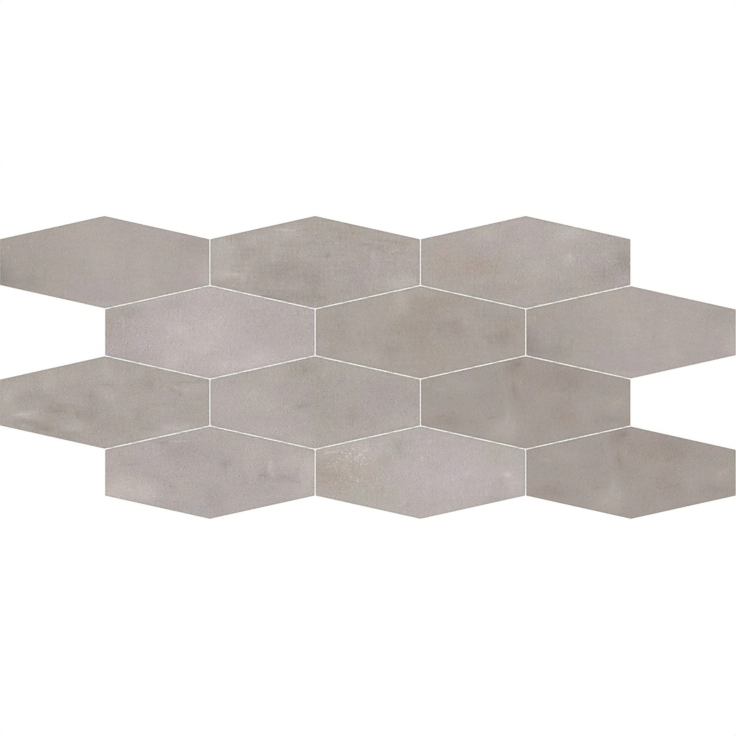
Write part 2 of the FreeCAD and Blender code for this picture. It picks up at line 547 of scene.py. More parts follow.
PRINTS["green_middle"]["marks"] = [
    (PALE, 10, 28, 4, 1.2, -50, 0.7),
    (PALE, 14, 34, 3, 1.4, 30, 0.5),
    (DARK, -10, 33, 3, 5, 0, 0.5),
    (SLATE, -14, -3, 3.6, 3, 30, 0.6),
    (BROWN, -21, -8, 4, 1.6, 20, 0.8),
    (SLATE, 27, 22, 6, 1.6, 35, 0.6),
    (BROWN, 22, 17, 3, 2, 40, 0.6),
    (FROST, -64, 9, 8, 1.4, 50, 0.6),
    (DARK, 25, -10, 1, 12, 0, 0.3),
    (SLATE, 51, -14, 1.6, 4, -15, 0.5),
    (FROST, 72, -6, 3.5, 1.6, 10, 0.6),
    (DARK, 3, -32, 2.6, 5, 0, 0.4),
]

PRINTS["ruddy_middle"]["patches"] = [
    (DARK, -12, 36, 9, 10, 0.8),
    (RUST, -12, 30, 8, 14, 0.6),
    (RUST, 26, 24, 42, 20, 0.75),
    (DARK, 30, 26, 40, 16, 0.4),
    (DARK, 45, 22, 14, 12, 0.35),
    (RUST, 34, -10, 10, 14, 0.65),
    (DARK, 34, -10, 10, 10, 0.3),
    (BROWN, -12, 12, 8, 10, 0.7),
    (DARK, -6, 2, 12, 9, 0.3),
    (MOSS, 8, -8, 12, 8, 0.5),
    (FROST, -68, 18, 20, 10, 0.45),
    (TEAL, -34, 28, 13, 10, 0.9),
    (MAUVE, -58, 26, 8, 5, 0.8),
    (SLATE, -42, 10, 12, 10, 0.2),
    (RUST, -88, -16, 22, 9, 0.8),
    (DARK, -78, -18, 14, 8, 0.6),
    (TEAL, -80, 2, 12, 6, 0.7),
    (PALE, -22, -29, 18, 12, 0.9),
    (FROST, -17, -10, 7, 12, 0.6),
    (STRAW, 88, -2, 18, 8, 0.65),
    (SLATE, 84, -17, 14, 5, 0.5),
    (RUST, 101, -17, 7, 6, 0.8),
    (TEAL, 76, 10, 8, 10, 0.7),
    (BROWN, 46, -18, 10, 9, 0.8),
    (FROST, 60, -6, 10, 12, 0.3),
    (DARK, 16, -22, 10, 8, 0.2),
]
PRINTS["ruddy_middle"]["marks"] = [
    (DARK, -8, 38, 4, 2, 0, 0.7),
    (PALE, -5, 20, 1, 5, -10, 0.5),
    (DARK, -12, 13, 2.4, 8, 10, 0.5),
    (DARK, 37, 13, 4, 2.6, 20, 0.5),
    (BROWN, 30, -22, 5, 2.6, 30, 0.9),
    (BROWN, 46, -13, 5, 3, 20, 0.7),
    (PALE, -18, -16, 1.6, 8, -8, 0.6),
    (PALE, -12, -22, 1.4, 8, -12, 0.5),
    (DARK, -32, -15, 5, 0.8, 5, 0.7),
    (DARK, 35, -15, 5, 1, 15, 0.6),
    (DARK, 44, 5, 2.2, 6, 0, 0.4),
    (PALE, -85, 13, 7, 1.4, -15, 0.5),
    (DARK, -76, 4, 4, 1.4, 0, 0.4),
    (DARK, -84, -14, 4, 1, 10, 0.7),
    (STRAW, 92, 1, 8, 1.6, 25, 0.6),
]

PRINTS["worn_mauve"]["patches"] = [
    (STRAW, -92, -16, 24, 13, 0.55),
    (PALE, -90, -18, 24, 12, 0.7),
    (STRAW, 50, 24, 10, 8, 0.4),
    (MOSS, 90, -20, 12, 6, 0.5),
    (PALE, -62, -20, 13, 10, 0.9),
    (DARK, -78, 12, 14, 7, 0.2),
    (MAUVE, -58, 16, 20, 12, 0.6),
    (MOSS, -86, 22, 14, 4, 0.8),
    (DARK, -28, 21, 20, 13, 0.6),
    (DARK, -46, 31, 14, 6, 0.3),
    (MOSS, -20, 37, 16, 5, 1),
    (DARK, 0, 20, 18, 18, 0.3),
    (DARK, 15, 9, 9, 8, 0.5),
    (TEAL, 4, 17, 6, 8, 1),
    (MOSS, 20, 36, 18, 6, 1.1),
    (BROWN, -50, -3, 12, 4, 0.6),
    (DARK, 70, -6, 18, 5, 0.5),
    (DARK, 52, -3, 8, 6, 0.4),
    (STRAW, 88, 14, 18, 12, 0.7),
    (PALE, 100, 0, 8, 16, 0.9),
    (PALE, 92, -18, 14, 6, 0.5),
    (STRAW, 42, 10, 8, 18, 0.5),
    (PALE, 60, 6, 4, 12, 0.4),
    (TEAL, 28, 2, 6, 6, 0.7),
    (DARK, 4, -26, 14, 16, 0.45),
    (DARK, 40, -13, 20, 9, 0.25),
    (MOSS, -8, -14, 26, 9, 0.6),
    (TEAL, -14, -38, 14, 6, 1),
    (SLATE, -32, -33, 18, 6, 0.3),
    (DARK, -42, -14, 8, 9, 0.25),
]
PRINTS["worn_mauve"]["marks"] = [
    (PALE, -32, 31.5, 9, 0.7, 1, 1.6),
    (STRAW, -14, 32.5, 5, 0.6, 3, 0.7),
    (DARK, -46, 30, 6, 1, 8, 0.7),
    (MOSS, -18, 28, 5, 2, -10, 0.8),
    (DARK, 16, 9, 4, 3.4, 20, 0.45),
    (DARK, 16, 0, 1.4, 5, 0, 0.5),
    (MOSS, 28, 4, 5, 2.6, 20, 0.9),
    (FROST, 60, 7, 1.5, 6, -15, 1.1),
    (FROST, 63, -1, 1.2, 4, 10, 1),
    (PALE, 90, -4, 4, 3, 50, 0.6),
    (DARK, 75, -4, 8, 1.4, -15, 0.6),
    (DARK, 85, -9, 6, 0.8, -10, 0.6),
    (DARK, 52, -3, 5, 1.6, 0, 0.6),
    (DARK, 62, -15, 3, 1, -60, 0.5),
    (BROWN, -55, -4, 5, 1.4, -15, 0.9),
    (DARK, -80, 8, 9, 1, 5, 0.6),
    (PALE, -57, -19, 5, 1.4, -50, 0.5),
    (PALE, -80, -18, 2.4, 1.4, 0, 0.7),
    (DARK, -38, -13, 8, 1.6, -40, 0.4),
]

PRINTS["ochre_end"]["patches"] = [
    (BROWN, -95, -3, 24, 22, 1.2),
    (DARK, -92, -4, 26, 22, 0.55),
    (RUST, -100, -8, 10, 8, 0.3),
    (MOSS, -48, -2, 18, 10, 0.7),
    (MOSS, -12, 16, 10, 8, 0.5),
    (MOSS, 12, 6, 11, 5, 1.2),
    (DARK, 77, -12, 8, 10, 0.35),
    (BROWN, -58, -2, 22, 16, 0.75),
    (DARK, -21, 25, 8, 9, 0.5),
    (MOSS, -22, 27, 10, 11, 1),
    (DARK, -34, 12, 8, 8, 0.3),
    (MOSS, -55, -24, 34, 11, 1.4),
    (TEAL, -60, -25, 12, 6, 0.7),
    (TEAL, -20, -8, 8, 6, 0.9),
    (TEAL, -4, 40, 16, 5, 0.9),
    (MAUVE, 26, 14, 44, 20, 0.7),
    (MAUVE, 30, -12, 56, 18, 0.6),
    (PALE, 30, -4, 58, 26, 0.4),
    (TEAL, 14, 5, 12, 5, 1),
    (MOSS, 72, 22, 10, 9, 1.7),
    (PALE, 88, -3, 5, 7, 0.4),
    (PALE, 95, -12, 7, 8, 0.5),
    (MAUVE, 95, -12, 10, 9, 0.5),
    (TEAL, 99, 16, 8, 6, 1),
    (SLATE, 76, -28, 16, 5, 0.4),
    (FROST, -54, 25, 18, 7, 0.4),
    (STRAW, 40, -38, 20, 5, 0.3),
]
PRINTS["ochre_end"]["marks"] = [
    (PALE, -93, 20, 4, 1.6, 10, 1),
    (STRAW, -74, 15, 4, 2, 60, 1.1),
    (PALE, -64, 15, 4, 1.8, 40, 1),
    (PALE, -76, 5, 2.4, 1.4, 60, 1),
    (STRAW, -71, -1, 2, 1.3, 20, 1),
    (PALE, -55, 22, 5, 1.6, 30, 0.8),
    (PALE, -40, 28, 4, 1.4, 20, 0.7),
    (STRAW, -62, -8, 3.6, 1.6, -30, 1),
    (RUST, -98, -9, 4, 3, 0, 1),
    (DARK, -90, 12, 7, 1, 0, 0.5),
    (PALE, 1, 13, 1.6, 2.6, 0, 1),
    (PALE, 8, 30, 4, 1.4, 50, 0.6),
    (MOSS, 15, 5, 6, 2, 30, 0.9),
    (DARK, 10, -2, 3, 1, -20, 0.5),
    (PALE, 48, 1, 4, 1.4, 60, 0.7),
    (STRAW, 45, -3, 2.2, 4, 0, 0.6),
    (PALE, 87, -2, 3.4, 2.6, -20, 1.1),
    (DARK, 80, -8, 4, 1.2, 70, 0.5),
    (PALE, -17, -30, 4, 2, 50, 0.6),
    (DARK, -22, 29, 3.6, 4, 0, 0.3),
]
PRINTS["ochre_end"]["flecks"] = [
    (STRAW, -76, 12, 22, 14, 3.8),
    (PALE, -60, 18, 20, 9, 2.4),
    (PALE, -68, -10, 26, 10, 1.6),
]

# Which print each tile shows, row by row: two prints come twice on the sheet
SHEET = [
    ("calm_slate", "worn_pale_end", "ruddy_patch"),
    ("pale_mauve", "brown_cloud", "calm_slate"),
    ("worn_dark_band", "green_middle", "ruddy_middle"),
    ("worn_mauve", "ochre_end", "ruddy_middle"),
]
TILE_PRINTS = {
    f"tile_row{row}_col{column}": print_name
    for row, names in enumerate(SHEET, 1)
    for column, print_name in enumerate(names, 1)
}


class Graph:
    """Short calls that add a node to a material or world and give its output."""

    def __init__(self, owner):
        owner.use_nodes = True
        self.tree = owner.node_tree
        self.tree.nodes.clear()

    def node(self, kind, inputs, **settings):
        made = self.tree.nodes.new("ShaderNode" + kind)
        for name, setting in settings.items():
            setattr(made, name, setting)
        for key, given in inputs.items():
            if isinstance(given, bpy.types.NodeSocket):
                self.tree.links.new(given, made.inputs[key])
            else:
                made.inputs[key].default_value = given
        return made

    def maths(self, operation, *given, clamp=False):
        inputs = dict(enumerate(given))
        return self.node("Math", inputs, operation=operation, use_clamp=clamp).outputs[0]

    def vary(self, field, amount, about, clamp=False):
        """A value or a second field, with this amount of the first field added."""
        return self.maths("MULTIPLY_ADD", field, amount, about, clamp=clamp)

    def vector(self, operation, *given):
        inputs = dict(enumerate(given))
        if operation == "SCALE":
            inputs = {0: given[0], "Scale": given[1]}
        made = self.node("VectorMath", inputs, operation=operation)
        return made.outputs["Value" if operation == "LENGTH" else "Vector"]

    def place(self):
        """Where a point is on its piece, in millimetres from the piece's origin."""
        local = self.node("TexCoord", {}).outputs["Object"]
        return self.vector("MULTIPLY", local, (1 / MM, 1 / MM, 1 / MM))

    def height(self, place):
        return self.node("SeparateXYZ", {"Vector": place}).outputs["Z"]

    def noise(self, place, size, stretch=(1, 1, 1), seed=0, detail=2, roughness=0.5):
        """Signed noise about zero, whose features are about size wide times stretch."""
        scale = [1 / (size * s) for s in stretch]
        start = [seed * step for step in SEED_STEP]
        shifted = self.node(
            "Mapping",
            {"Vector": place, "Location": start, "Rotation": LATTICE_TURN, "Scale": scale},
        ).outputs[0]
        made = self.node(
            "TexNoise",
            {"Vector": shifted, "Scale": 1, "Detail": detail, "Roughness": roughness},
        )
        return self.maths("SUBTRACT", made.outputs["Fac"], 0.5)

    def wobble(self, place, size, amount, seed):
        """The place, moved about by soft noise, so that what is drawn on it has no even edge."""
        started = self.vector("ADD", place, (seed, seed, 0))
        inputs = {"Vector": started, "Scale": 1 / size, "Detail": WOBBLE_DETAIL}
        made = self.node("TexNoise", inputs)
        centred = self.vector("SUBTRACT", made.outputs["Color"], (0.5, 0.5, 0.5))
        return self.vector("MULTIPLY_ADD", centred, (amount, amount, 0), place)

    def step(self, x, low, high):
        """Rises softly from 0 at low to 1 at high, or falls where high is below low."""
        inputs = {"Value": x, "From Min": low, "From Max": high}
        return self.node("MapRange", inputs, interpolation_type="SMOOTHSTEP").outputs[0]

    def mix(self, share, first, second):
        """The first colour where share is 0, and the second where it is 1."""
        return self.node("Mix", {0: share, 6: first, 7: second}, data_type="RGBA").outputs[2]

    def bump(self, height, distance):
        return self.node("Bump", {"Height": height, "Distance": distance}).outputs[0]

    def surface(self, **inputs):
        """Ends the material in a Principled shader with these sockets."""
        named = {key.replace("_", " "): given for key, given in inputs.items()}
        shader = self.node("BsdfPrincipled", named)
        self.node("OutputMaterial", {"Surface": shader.outputs[0]})


def new_material(name):
    """A material, and the graph that builds it."""
    material = bpy.data.materials.new(name)
    return material, Graph(material)


def rim_shade_mask(graph, place):
    """Mask of the painted shade: 1 on the print's outermost strip, along all six sides, and 0
    inside it.
    """
    apart = graph.node("SeparateXYZ", {"Vector": graph.vector("ABSOLUTE", place)}).outputs
    to_end = graph.maths("SUBTRACT", HALF_WIDTH / MM, apart["X"])
    roof = graph.maths("MULTIPLY_ADD", apart["X"], -math.tan(SLOPE), APEX / MM)
    to_slope = graph.maths("MULTIPLY", graph.maths("SUBTRACT", roof, apart["Y"]), math.cos(SLOPE))
    return graph.step(graph.maths("MINIMUM", to_end, to_slope), RIM_END, RIM_WIDTH)


def spot(graph, field, place, tone, x, y, half_width, half_height, turn, strength, mask=1.0):
    """The field of tones, with one soft oval added that fades out from its middle."""
    scaled = graph.node(
        "Mapping",
        {
            "Vector": place,
            "Location": (x, y, 0),
            "Rotation": (0, 0, math.radians(turn)),
            "Scale": (half_width, half_height, 1),
        },
        vector_type="TEXTURE",
    ).outputs[0]
    cover = graph.step(graph.vector("LENGTH", scaled), SPOT_REACH, 0.0)
    cover = graph.maths("MULTIPLY", cover, mask)
    added = [strength * share for share in tone]
    return graph.vector("MULTIPLY_ADD", cover, added, field)


def drawn_field(graph, place, recipe, seed):
    """All that is drawn on a print, with the painted shade along its sides, as what it adds to
    red, green and blue.
    """
    wandering = place
    for size, amount, own_seed in PATCH_WOBBLES:
        wandering = graph.wobble(wandering, size, amount, seed + own_seed)
    size, amount, own_seed = MARK_WOBBLE
    ragged = graph.wobble(place, size, amount, seed + own_seed)
    field = (0, 0, 0)
    for *oval, strength in recipe["patches"]:
        field = spot(graph, field, wandering, *oval, 0, strength * recipe["depth"])
    for mark in recipe["marks"]:
        field = spot(graph, field, ragged, *mark)
    flecks = graph.step(graph.noise(place, FLECK_SIZE, seed=seed + FLECK_SEED), *FLECK_THRESHOLD)
    for *oval, strength in recipe.get("flecks", []):
        field = spot(graph, field, wandering, *oval, 0, strength, flecks)
    # Painted shade along the tile's sides, beside the joints
    return graph.vector("MULTIPLY_ADD", rim_shade_mask(graph, place), PAINTED_RIM_SHADE, field)


def noise_layer(graph, place, kind, seed):
    """One of a print's layers of noise. Each has its own seed, by its place in the table."""
    size, stretch, detail, falloff = NOISE_LAYERS[kind]
    own_seed = seed + list(NOISE_LAYERS).index(kind)
    return graph.noise(place, size, stretch, own_seed, detail, falloff)


def print_material(name, seed):
    """Matt cement-look print: patches, worn marks, brushed mottle and sandy grain."""
    recipe = PRINTS[name]
    material, graph = new_material("print_" + name)
    local = graph.place()
    place = graph.vector("MULTIPLY", local, (1, 1, 0))
    field = drawn_field(graph, place, recipe, seed)

    layers = {kind: noise_layer(graph, place, kind, seed) for kind in NOISE_LAYERS}
    aside = graph.vector("ADD", place, (GRAIN_STEP, 0, 0))
    grain_aside = noise_layer(graph, aside, "grain", seed)
    grain = graph.vary(grain_aside, -GRAIN_SHARPNESS, layers["grain"])
    unevenness = graph.vary(layers["blotches"], GRAIN_UNEVENNESS, 1.0)
    grain = graph.maths("MULTIPLY", grain, unevenness)
    light = graph.maths("MULTIPLY", grain, GRAIN_CONTRAST * recipe["grain"])
    for kind, contrast in MOTTLE_CONTRAST.items():
        light = graph.vary(layers[kind], contrast * recipe["mottle"], light)
    field = graph.vector("ADD", field, light)
    for i, (size, tint) in enumerate(TINTS):
        drift = graph.noise(place, size, seed=seed + len(layers) + i, roughness=TINT_ROUGHNESS)
        field = graph.vector("MULTIPLY_ADD", drift, tint, field)

    gain = graph.vector("ADD", field, (1, 1, 1))
    colour = graph.vector("MULTIPLY", gain, recipe["base"])
    glaze_end = (TILE_TOP - GLAZE_DEPTH) / MM
    on_face = graph.step(graph.height(local), glaze_end - GLAZE_FADE, glaze_end + GLAZE_FADE)
    # The arris: the body's colour, raised by painted light against the shade its slope gets under
    # the overhead light
    ground = graph.vary(grain, ARRIS_GRAIN, ARRIS_BODY_AND_PAINTED_LIGHT)
    body = graph.vector("SCALE", recipe["base"], ground)
    relief = graph.vary(layers["across"], amount=0.5, about=layers["grain"])
    graph.surface(
        Base_Color=graph.mix(on_face, body, colour),
        Roughness=graph.vary(layers["blotches"], amount=0.25, about=0.62),
        Specular_IOR_Level=0.35,
        Normal=graph.bump(relief, distance=0.06 * MM),
    )
    return material


def body_material():
    """Pressed and fired porcelain: speckled, sawn on the sides, powdery on the back's ribs."""
    material, graph = new_material("porcelain_body")
    place = graph.place()
    speckle = graph.noise(place, size=0.7, seed=3, detail=3, roughness=0.8)
    clouds = graph.noise(place, size=18, seed=5)
    saw_marks = graph.noise(place, size=0.35, stretch=(40, 40, 1), seed=7, detail=2)
    shade = graph.vary(speckle, amount=0.5, about=0.5)
    shade = graph.vary(clouds, amount=0.3, about=shade)
    shade = graph.vary(saw_marks, amount=0.25, about=shade, clamp=True)
    body = graph.mix(shade, *BODY_COLOURS)

    normal = graph.node("NewGeometry", {}).outputs["Normal"]
    facing_down = graph.step(graph.height(normal), *DUST_NORMAL)
    rib_heights = [TILE_BOTTOM / MM + above for above in DUST_HEIGHT]
    on_ribs = graph.step(graph.height(place), *rib_heights)
    dust = graph.maths("MULTIPLY", facing_down, on_ribs)
    dusting = graph.noise(place, size=3, seed=9, detail=4, roughness=0.7)
    dust = graph.maths("MULTIPLY", dust, graph.step(dusting, *DUST_PATCHES))
    dust = graph.maths("MULTIPLY", dust, DUST_SHARE)
    relief = graph.maths("ADD", saw_marks, speckle)
    graph.surface(
        Base_Color=graph.mix(dust, body, DUST_COLOUR),
        Roughness=graph.vary(speckle, amount=0.2, about=0.7),
        Specular_IOR_Level=0.4,
        Normal=graph.bump(relief, distance=0.08 * MM),
    )
    return material


def strand_material(name, stretch):
    """Coated glass yarn: fine filaments along the strand, with thicker and thinner binder."""
    material, graph = new_material(name)
    place = graph.place()
    filaments = graph.noise(place, size=0.12, stretch=stretch, seed=2, detail=2)
    binder = graph.noise(place, size=5, seed=4, detail=3)
    shade = graph.vary(filaments, amount=1.2, about=0.5)
    shade = graph.vary(binder, amount=0.8, about=shade, clamp=True)
    graph.surface(
        Base_Color=graph.mix(shade, *STRAND_COLOURS),
        Roughness=graph.vary(binder, amount=0.3, about=0.5),
        Specular_IOR_Level=0.5,
        Normal=graph.bump(filaments, distance=0.05 * MM),
    )
    return material


def glue_material():
    """Dried adhesive: milky, a little yellow where it is thick, with a soft shine."""
    material, graph = new_material("dried_glue")
    place = graph.place()
    thick = graph.noise(place, size=6, seed=11, detail=3)
    ripples = graph.noise(place, size=1.6, seed=12, detail=2)
    shade = graph.vary(thick, amount=1.6, about=0.5, clamp=True)
    graph.surface(
        Base_Color=graph.mix(shade, *GLUE_COLOURS),
        Roughness=graph.vary(ripples, amount=0.3, about=0.38),
        Specular_IOR_Level=0.5,
        Normal=graph.bump(ripples, distance=0.10 * MM),
    )
    return material


def tile_outline(node):
    """Centre of a CAD tile, and its half width, half height in the middle and at its ends."""
    low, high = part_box(node)
    centre = (low + high) / 2
    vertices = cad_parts[node].data.vertices
    ends = [v.co.y - centre.y for v in vertices if high.x - v.co.x < TINY]
    return centre, high.x - centre.x, high.y - centre.y, max(ends)


TILE_CENTRE, HALF_WIDTH, APEX, EAVE = tile_outline("tile_row1_col1")
TILE_LOW, TILE_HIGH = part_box("tile_row1_col1")
TILE_TOP = TILE_HIGH.z - TILE_CENTRE.z
TILE_BOTTOM = TILE_LOW.z - TILE_CENTRE.z
SLOPE = math.atan2(APEX - EAVE, HALF_WIDTH)


def corners(inset):
    """The tile's six corners, with each side moved in."""
    x = HALF_WIDTH - inset
    apex = APEX - inset / math.cos(SLOPE)
    eave = apex - x * math.tan(SLOPE)
    places = [(x, -eave), (x, eave), (0, apex), (-x, eave), (-x, -eave), (0, -apex)]
    return [Vector(place) for place in places]


def ring(inset):
    """Points round the tile, with the same number at each inset."""
    outer = corners(0)
    inner = corners(inset)
    points = []
    for i in range(len(outer)):
        following = (i + 1) % len(outer)
        count = round((outer[following] - outer[i]).length / EDGE_STEP)
        points += [inner[i].lerp(inner[following], k / count) for k in range(count)]
    return points


def distance_to_side(point):
    """How far a point is inside the tile's outline."""
    to_end = HALF_WIDTH - abs(point.x)
    roof = APEX - abs(point.x) * math.tan(SLOPE)
    to_slope = (roof - abs(point.y)) * math.cos(SLOPE)
    return min(to_end, to_slope)


def add_object(name, data):
    """A new object of the scene, with this mesh, lamp or camera."""
    made = bpy.data.objects.new(name, data)
    bpy.context.scene.collection.objects.link(made)
    return made


def new_mesh(name, shape):
    """The finished bmesh as a mesh."""
    mesh = bpy.data.meshes.new(name)
    shape.to_mesh(mesh)
    shape.free()
    return mesh


def smooth(mesh):
    """Smooth shading, except across sharp edges."""
    for polygon in mesh.polygons:
        polygon.use_smooth = True
    mesh.set_sharp_from_angle(angle=SMOOTH_ANGLE)


def join_rings(shape, upper, lower):
    """Faces between two rings of as many vertices."""
    for i in range(len(upper)):
        following = (i + 1) % len(upper)
        shape.faces.new((upper[i], lower[i], lower[following], upper[following]))


def tile_blank():
    """The tile about its own centre, with a softly ground arris and a flat back."""
    shape = bmesh.new()
    levels = [(inset, TILE_TOP - depth) for inset, depth in EDGE_RINGS] + [(0, TILE_BOTTOM)]
    rings = [[shape.verts.new((p.x, p.y, z)) for p in ring(inset)] for inset, z in levels]
    shape.faces.new(rings[0])
    shape.faces.new(reversed(rings[-1]))
    for upper, lower in zip(rings, rings[1:]):
        join_rings(shape, upper, lower)
    return add_object("tile_blank", new_mesh("tile_blank", shape))


def rounded_square(half, radius):
    """Corner points of a square with round corners, about the origin."""
    points = []
    for quarter in range(4):
        turn = quarter * math.pi / 2
        arc_centre = Vector((half - radius, half - radius))
        for k in range(POCKET_CORNER_STEPS + 1):
            angle = k / POCKET_CORNER_STEPS * math.pi / 2
            point = arc_centre + Vector((math.cos(angle), math.sin(angle))) * radius
            x = point.x * math.cos(turn) - point.y * math.sin(turn)
            y = point.x * math.sin(turn) + point.y * math.cos(turn)
            points.append(Vector((x, y, 0)))
    return points


def pocket_cutters():
    """The press's key pockets as one object of tapered blocks that stand in the back."""
    shape = bmesh.new()
    reach_x = math.ceil(HALF_WIDTH / POCKET_PITCH)
    reach_y = math.ceil(APEX / POCKET_PITCH)
    over = POCKET_DEPTH
    low = rounded_square(POCKET_SIDE / 2 + over * POCKET_DRAFT, POCKET_CORNER)
    high = rounded_square(POCKET_SIDE / 2 - POCKET_DEPTH * POCKET_DRAFT, POCKET_CORNER)
    for i in range(-reach_x, reach_x + 1):
        for j in range(-reach_y, reach_y + 1):
            foot_centre = Vector((i * POCKET_PITCH, j * POCKET_PITCH, TILE_BOTTOM - over))
            roof_centre = foot_centre + Vector((0, 0, over + POCKET_DEPTH))
            foot = [shape.verts.new(foot_centre + point) for point in low]
            roof = [shape.verts.new(roof_centre + point) for point in high]
            shape.faces.new(roof)
            shape.faces.new(reversed(foot))
            join_rings(shape, roof, foot)
    return add_object("pocket_cutters", new_mesh("pocket_cutters", shape))


def keyed_tile_mesh():
    """The blank with its key pockets cut out."""
    blank = tile_blank()
    cutters = pocket_cutters()
    cut = blank.modifiers.new("key_pockets", "BOOLEAN")
    cut.operation = "DIFFERENCE"
    cut.solver = "EXACT"
    cut.object = cutters
    depsgraph = bpy.context.evaluated_depsgraph_get()
    mesh = bpy.data.meshes.new_from_object(blank.evaluated_get(depsgraph))
    bpy.data.objects.remove(blank)
    bpy.data.objects.remove(cutters)
    return mesh


def chip_arris(mesh, seed):
    """Moves the arris in and down in a few short places, as small chips."""
    start = Vector([seed * step for step in CHIP_SEED_STEP])
    for vertex in mesh.vertices:
        depth = TILE_TOP - vertex.co.z
        if depth > PRINT_DEPTH - TINY or distance_to_side(vertex.co) > ARRIS_INSET + TINY:
            continue
        strength = noise.noise(vertex.co / CHIP_SIZE + start) - CHIP_THRESHOLD
        if strength <= 0:
            continue
        amount = min(strength * CHIP_STEEPNESS, 1) * CHIP_DEPTH
        inward = Vector((-vertex.co.x, -vertex.co.y, 0)).normalized()
        vertex.co += inward * amount
        vertex.co.z -= amount * CHIP_DROP


def finish_mesh(mesh, materials):
    """Gives the print to the face and arris, the body to the rest, and smooths the arris."""
    for material in materials:
        mesh.materials.append(material)
    for polygon in mesh.polygons:
        is_print = polygon.center.z > TILE_TOP - PRINT_DEPTH
        polygon.material_index = 0 if is_print else 1
    smooth(mesh)


def add_piece(name, mesh, replaced, centre=(0, 0, 0)):
    piece = add_object(name, mesh)
    piece.location = centre
    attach(piece, "root")
    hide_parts(replaced)


def add_tiles():
    prints = {name: print_material(name, PRINT_SEED_STEP * i) for i, name in enumerate(PRINTS)}
    body = body_material()
    keyed = keyed_tile_mesh()
    for seed, (node, print_name) in enumerate(TILE_PRINTS.items()):
        mesh = keyed.copy()
        chip_arris(mesh, seed)
        finish_mesh(mesh, [prints[print_name], body])
        low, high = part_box(node)
        add_piece(node.replace("tile", "printed_tile"), mesh, node, (low + high) / 2)


def outline_segments(node):
    """The sides of a plate's plan, as pairs of points."""
    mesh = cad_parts[node].data
    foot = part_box(node)[0].z
    segments = []
    for polygon in mesh.polygons:
        places = [mesh.vertices[v].co for v in polygon.vertices]
        on_foot = [place.xy for place in places if place.z - foot < TINY]
        if abs(polygon.normal.z) < SIDE_TILT and len(on_foot) == 2:
            segments.append(on_foot)
    return segments


def spans(segments, along, value):
    """Where a line that runs along an axis, at this value of the other, is inside the plan."""
    other = 1 - along
    hits = []
    for start, end in segments:
        if (start[other] > value) != (end[other] > value):
            share = (value - start[other]) / (end[other] - start[other])
            hits.append(start[along] + (end[along] - start[along]) * share)
    hits.sort()
    return list(zip(hits[::2], hits[1::2]))


def add_strand(shape, points, along, section):
    """A flat strand through the points, which run along X or Y, with a four-sided section."""
    side = Vector((0, 1, 0)) if along == 0 else Vector((-1, 0, 0))
    side *= section[0] / 2
    rise = Vector((0, 0, section[1] / 2))
    offsets = (side, rise, -side, -rise)
    rings = [[shape.verts.new(point + offset) for offset in offsets] for point in points]
    for before, after in zip(rings, rings[1:]):
        join_rings(shape, after, before)
    shape.faces.new(reversed(rings[0]))
    shape.faces.new(rings[-1])


def wander(point, seed):
    return noise.noise(point / STRAND_WANDER_SIZE + Vector((0, 0, seed))) * STRAND_WANDER


def strand_stops(low, high):
    """Places along a strand: its ends, and each crossing between them."""
    first = math.ceil(low / MESH_PITCH + END_CLEARANCE)
    last = math.floor(high / MESH_PITCH - END_CLEARANCE)
    return [low] + [k * MESH_PITCH for k in range(first, last + 1)] + [high]


def mesh_lines(low, high):
    return range(math.ceil(low / MESH_PITCH), math.floor(high / MESH_PITCH) + 1)


def add_mesh():
    """The open fibreglass mesh, in two pieces: the wefts, and the pairs of warps."""
    node = "backing_mesh"
    low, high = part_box(node)
    segments = outline_segments(node)
    middle = (low.z + high.z) / 2
    wefts = bmesh.new()
    for line in mesh_lines(low.y, high.y):
        y = line * MESH_PITCH
        for start, end in spans(segments, 0, y):
            points = [Vector((x, y, middle)) for x in strand_stops(start, end)]
            points = [p + Vector((0, wander(p, WEFT_SEED), 0)) for p in points]
            add_strand(wefts, points, 0, WEFT_SECTION)
    warps = bmesh.new()
    heights = (high.z - WARP_SECTION[1] / 2, low.z + WARP_SECTION[1] / 2)
    for line in mesh_lines(low.x, high.x):
        x = line * MESH_PITCH
        for start, end in spans(segments, 1, x):
            for side, z in zip((1, -1), heights):
                points = []
                for y in strand_stops(start, end):
                    swap = 1 if round(y / MESH_PITCH) % 2 == 0 else -1
                    point = Vector((x, y, z))
                    shift = side * swap * WARP_SHIFT + wander(point, WARP_SEED)
                    points.append(point + Vector((shift, 0, 0)))
                add_strand(warps, points, 1, WARP_SECTION)
    along_x = (FILAMENT_STRETCH, 1, 1)
    along_y = (1, FILAMENT_STRETCH, 1)
    for name, shape, stretch in (("mesh_wefts", wefts, along_x), ("mesh_warps", warps, along_y)):
        mesh = new_mesh(name, shape)
        mesh.materials.append(strand_material(name, stretch))
        add_piece(name, mesh, node)


def add_dab(shape, centre, low, high, seed):
    """One flattened dab of glue: its top lies on the tile, and it bulges down into the mesh."""
    turns = [k / GLUE_SPOKES * 2 * math.pi for k in range(GLUE_SPOKES)]
    radii = []
    for turn in turns:
        around = Vector((math.cos(turn), math.sin(turn), seed))
        radii.append(GLUE_RADIUS + noise.noise(around * GLUE_LOBES) * GLUE_RADIUS_VARIATION)
    shares = [k / GLUE_RINGS for k in range(1, GLUE_RINGS + 1)]
    rise = high - GLUE_EDGE - low
    levels = [(share, high) for share in shares]
    levels += [(share, low + rise * share ** GLUE_BULGE) for share in reversed(shares)]
    rings = []
    for share, z in levels:
        made = []
        for turn, radius in zip(turns, radii):
            x = centre.x + math.cos(turn) * radius * share
            y = centre.y + math.sin(turn) * radius * share
            made.append(shape.verts.new((x, y, z)))
        rings.append(made)
    for inner, outer in zip(rings, rings[1:]):
        join_rings(shape, inner, outer)
    shape.faces.new(rings[0])
    shape.faces.new(reversed(rings[-1]))


